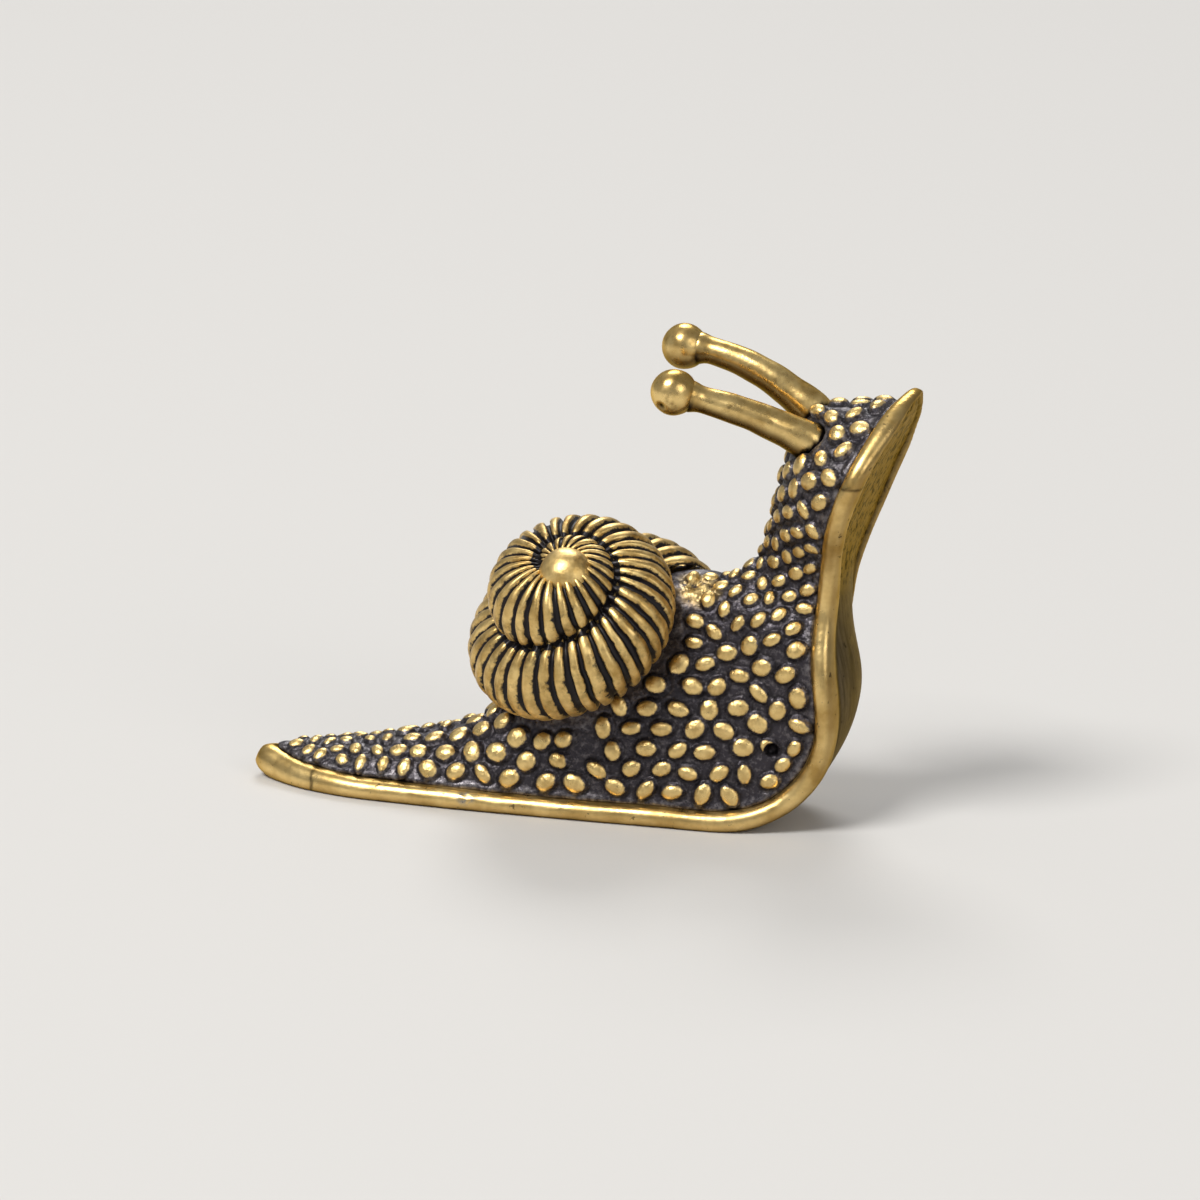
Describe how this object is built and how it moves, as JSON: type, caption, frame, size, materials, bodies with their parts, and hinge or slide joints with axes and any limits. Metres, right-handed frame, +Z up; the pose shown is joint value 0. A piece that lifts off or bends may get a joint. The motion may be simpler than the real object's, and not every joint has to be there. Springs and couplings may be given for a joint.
{
  "type": "snail figurine",
  "caption": "Small cast brass snail ornament with a ribbed spiral shell, a pebbled hide, a raised hooded head, bent eye stalks and a flat foot to stand on.",
  "frame": {"origin": "on the ground flat of the foot, in the foot's mid plane, halfway along the ornament", "axes": "+X towards the head, +Y towards the snail's left side, +Z up"},
  "size_m": [0.038, 0.0141, 0.0276],
  "materials": {
    "bright_brass": "cast, rubbed bright, fine pits",
    "antiqued_hide": "cast, blackened, pebble tops rubbed bright",
    "antiqued_shell": "cast ribs rubbed bright, flutes blackened"
  },
  "bodies": {
    "root": {"sole": "bright_brass", "body": "antiqued_hide", "shell": "antiqued_shell", "eyestalk_right": "bright_brass", "eyestalk_left": "bright_brass", "eye_right": "bright_brass", "eye_left": "bright_brass"}
  },
  "joints": []
}
